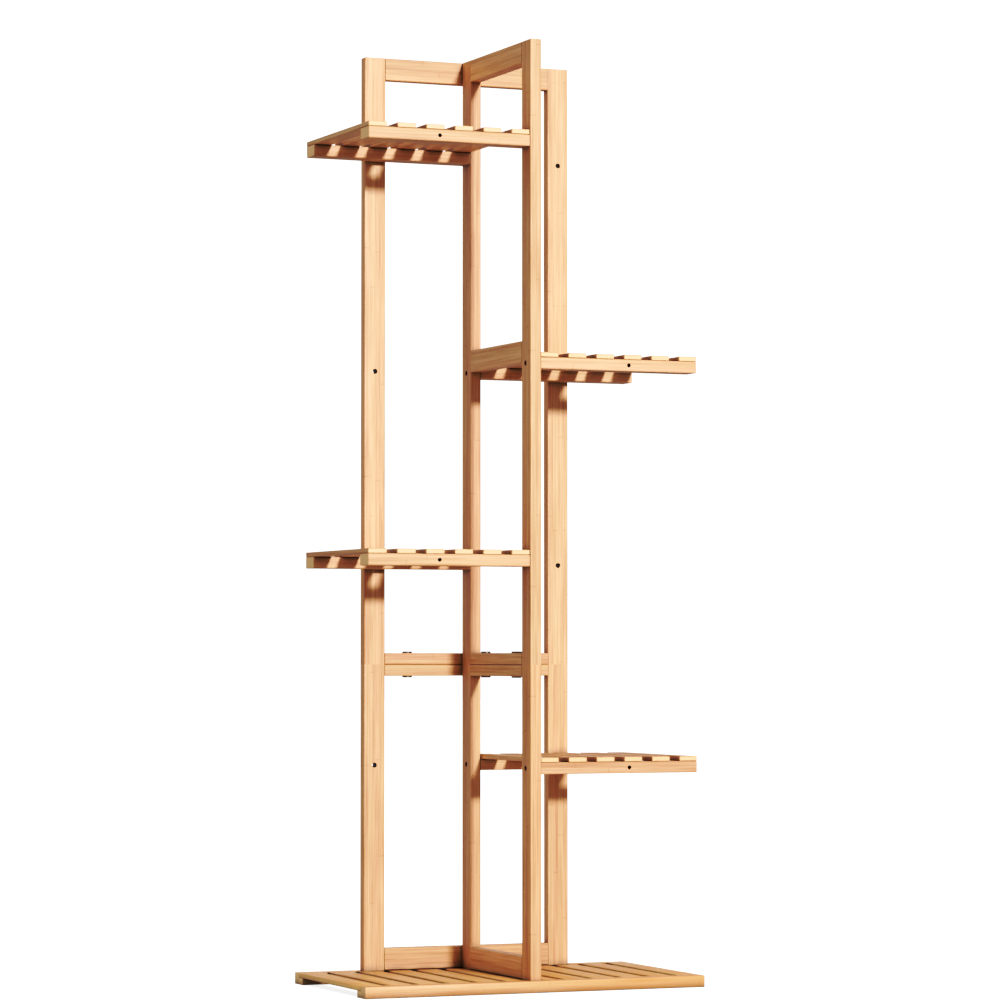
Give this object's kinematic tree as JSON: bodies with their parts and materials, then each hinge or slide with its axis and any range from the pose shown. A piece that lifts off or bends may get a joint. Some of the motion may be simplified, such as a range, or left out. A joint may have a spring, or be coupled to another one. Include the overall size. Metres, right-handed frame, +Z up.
{
  "type": "tiered plant stand",
  "caption": "Tall flat-packed bamboo plant stand: slatted base, a middle frame and a back frame bolted in two halves, and slatted shelves staggered left and right.",
  "frame": {"origin": "on the floor, at the middle of the base", "axes": "+Z up, +Y towards the back frame, +X towards the side of the two right shelves"},
  "size_m": [0.4506, 0.2466, 1.1695],
  "materials": {
    "frame_bamboo": "clear lacquered solid bamboo, satin",
    "slat_bamboo": "clear lacquered bamboo strip, satin",
    "base_bamboo": "clear lacquered solid bamboo, satin, honey toned",
    "black_steel": "black oxidised steel"
  },
  "bodies": {
    "root": {"base_panel": "base_bamboo", "front_post_lower": "frame_bamboo", "front_post_upper": "frame_bamboo", "rear_post_lower": "frame_bamboo", "rear_post_upper": "frame_bamboo", "left_back_post_lower": "frame_bamboo", "left_back_post_upper": "frame_bamboo", "right_back_post_lower": "frame_bamboo", "right_back_post_upper": "frame_bamboo", "middle_bottom_rail": "frame_bamboo", "middle_joint_rail_lower": "frame_bamboo", "middle_joint_rail_upper": "frame_bamboo", "middle_cross_rail": "frame_bamboo", "middle_top_rail": "frame_bamboo", "back_bottom_rail": "frame_bamboo", "back_joint_rail_lower": "frame_bamboo", "back_joint_rail_upper": "frame_bamboo", "back_top_rail": "frame_bamboo", "top_left_shelf_front_rail": "frame_bamboo", "top_left_shelf_back_rail": "frame_bamboo", "top_left_shelf_slat_1": "slat_bamboo", "top_left_shelf_slat_2": "slat_bamboo", "top_left_shelf_slat_3": "slat_bamboo", "top_left_shelf_slat_4": "slat_bamboo", "top_left_shelf_slat_5": "slat_bamboo", "top_left_shelf_slat_6": "slat_bamboo", "upper_right_shelf_front_rail": "frame_bamboo", "upper_right_shelf_back_rail": "frame_bamboo", "upper_right_shelf_slat_1": "slat_bamboo", "upper_right_shelf_slat_2": "slat_bamboo", "upper_right_shelf_slat_3": "slat_bamboo", "upper_right_shelf_slat_4": "slat_bamboo", "upper_right_shelf_slat_5": "slat_bamboo", "upper_right_shelf_slat_6": "slat_bamboo", "lower_left_shelf_front_rail": "frame_bamboo", "lower_left_shelf_back_rail": "frame_bamboo", "lower_left_shelf_slat_1": "slat_bamboo", "lower_left_shelf_slat_2": "slat_bamboo", "lower_left_shelf_slat_3": "slat_bamboo", "lower_left_shelf_slat_4": "slat_bamboo", "lower_left_shelf_slat_5": "slat_bamboo", "lower_left_shelf_slat_6": "slat_bamboo", "lower_right_shelf_front_rail": "frame_bamboo", "lower_right_shelf_back_rail": "frame_bamboo", "lower_right_shelf_slat_1": "slat_bamboo", "lower_right_shelf_slat_2": "slat_bamboo", "lower_right_shelf_slat_3": "slat_bamboo", "lower_right_shelf_slat_4": "slat_bamboo", "lower_right_shelf_slat_5": "slat_bamboo", "lower_right_shelf_slat_6": "slat_bamboo", "joint_bolt_front": "black_steel", "joint_nut_front": "black_steel", "joint_bolt_rear": "black_steel", "joint_nut_rear": "black_steel", "joint_bolt_left": "black_steel", "joint_nut_left": "black_steel", "joint_bolt_right": "black_steel", "joint_nut_right": "black_steel"}
  },
  "joints": []
}
